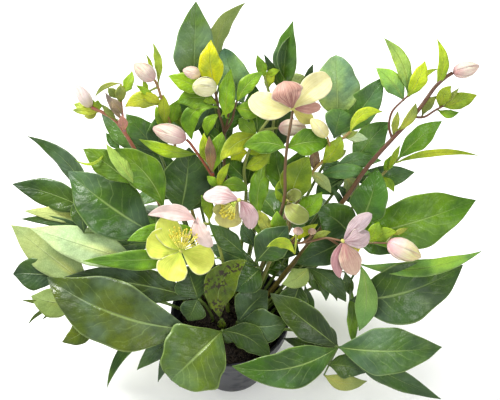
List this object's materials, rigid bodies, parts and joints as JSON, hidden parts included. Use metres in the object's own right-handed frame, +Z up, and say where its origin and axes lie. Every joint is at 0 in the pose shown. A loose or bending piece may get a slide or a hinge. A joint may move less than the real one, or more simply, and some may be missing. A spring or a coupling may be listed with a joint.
{
  "type": "hellebore plant in pot",
  "caption": "Hellebore in a round nursery pot: arching leathery leaves with pointed leaflets, branching flowering stems with leafy bracts, nodding buds and open flowers with yellow stamens.",
  "frame": {"origin": "centre of the pot's flat base, on the ground", "axes": "+Z up along the pot's axis, -Y towards the viewed front, +X to the right seen from the front"},
  "size_m": [0.4897, 0.2758, 0.3723],
  "materials": {
    "leaf_green": "glossy, leathery leaf",
    "stem_and_bract": "smooth green stem and soft bract",
    "stamen_yellow": "powdery yellow",
    "bud_pink": "satin petal",
    "bud_cream": "satin petal",
    "sepal_yellow": "satin petal",
    "sepal_striped": "satin petal with darker veins",
    "sepal_pink": "satin petal",
    "sepal_olive": "satin petal",
    "pot_plastic": "moulded, slightly glossy",
    "soil": "crumbly peat compost"
  },
  "bodies": {
    "root": {"bud_blunt_pink": "bud_pink", "bud_cream": "bud_cream", "bud_cream_yellow": "bud_cream", "bud_far_left": "bud_pink", "bud_far_right": "bud_pink", "bud_pink_left": "bud_pink", "bud_right": "bud_pink", "bud_rose": "bud_pink", "bud_small_left": "bud_pink", "bud_small_right": "bud_pink", "bud_upper_left": "bud_pink", "flower_nodding_sepals": "sepal_pink", "flower_nodding_stamens": "stamen_yellow", "flower_right_sepals": "sepal_pink", "flower_right_stamens": "stamen_yellow", "flower_top_sepals": "sepal_striped", "flower_top_stamens": "stamen_yellow", "flower_yellow_sepals": "sepal_yellow", "flower_yellow_stamens": "stamen_yellow", "leaf_back": "leaf_green", "leaf_back_left": "leaf_green", "leaf_back_right": "leaf_green", "leaf_centre": "leaf_green", "leaf_centre_low": "leaf_green", "leaf_centre_right": "leaf_green", "leaf_front": "leaf_green", "leaf_front_left": "leaf_green", "leaf_front_right": "leaf_green", "leaf_front_speckled": "leaf_green", "leaf_left": "leaf_green", "leaf_left_low": "leaf_green", "leaf_left_mid": "leaf_green", "leaf_left_under": "leaf_green", "leaf_left_upper": "leaf_green", "leaf_mid_left": "leaf_green", "leaf_rear_left": "leaf_green", "leaf_rear_mid": "leaf_green", "leaf_rear_right": "leaf_green", "leaf_right": "leaf_green", "leaf_right_low": "leaf_green", "leaf_right_upper": "leaf_green", "pot": "pot_plastic", "soil": "soil", "stem_back": "stem_and_bract", "stem_centre": "stem_and_bract", "stem_far_left": "stem_and_bract", "stem_left_bright": "stem_and_bract", "stem_mid": "stem_and_bract", "stem_nodding": "stem_and_bract", "stem_olive": "stem_and_bract", "stem_pink_left": "stem_and_bract", "stem_right": "stem_and_bract", "stem_top_flower": "stem_and_bract", "stem_upper_left": "stem_and_bract", "stem_yellow_flower": "stem_and_bract", "stem_yellow_right": "stem_and_bract", "stem_young": "stem_and_bract", "young_bloom": "sepal_olive"}
  },
  "joints": []
}
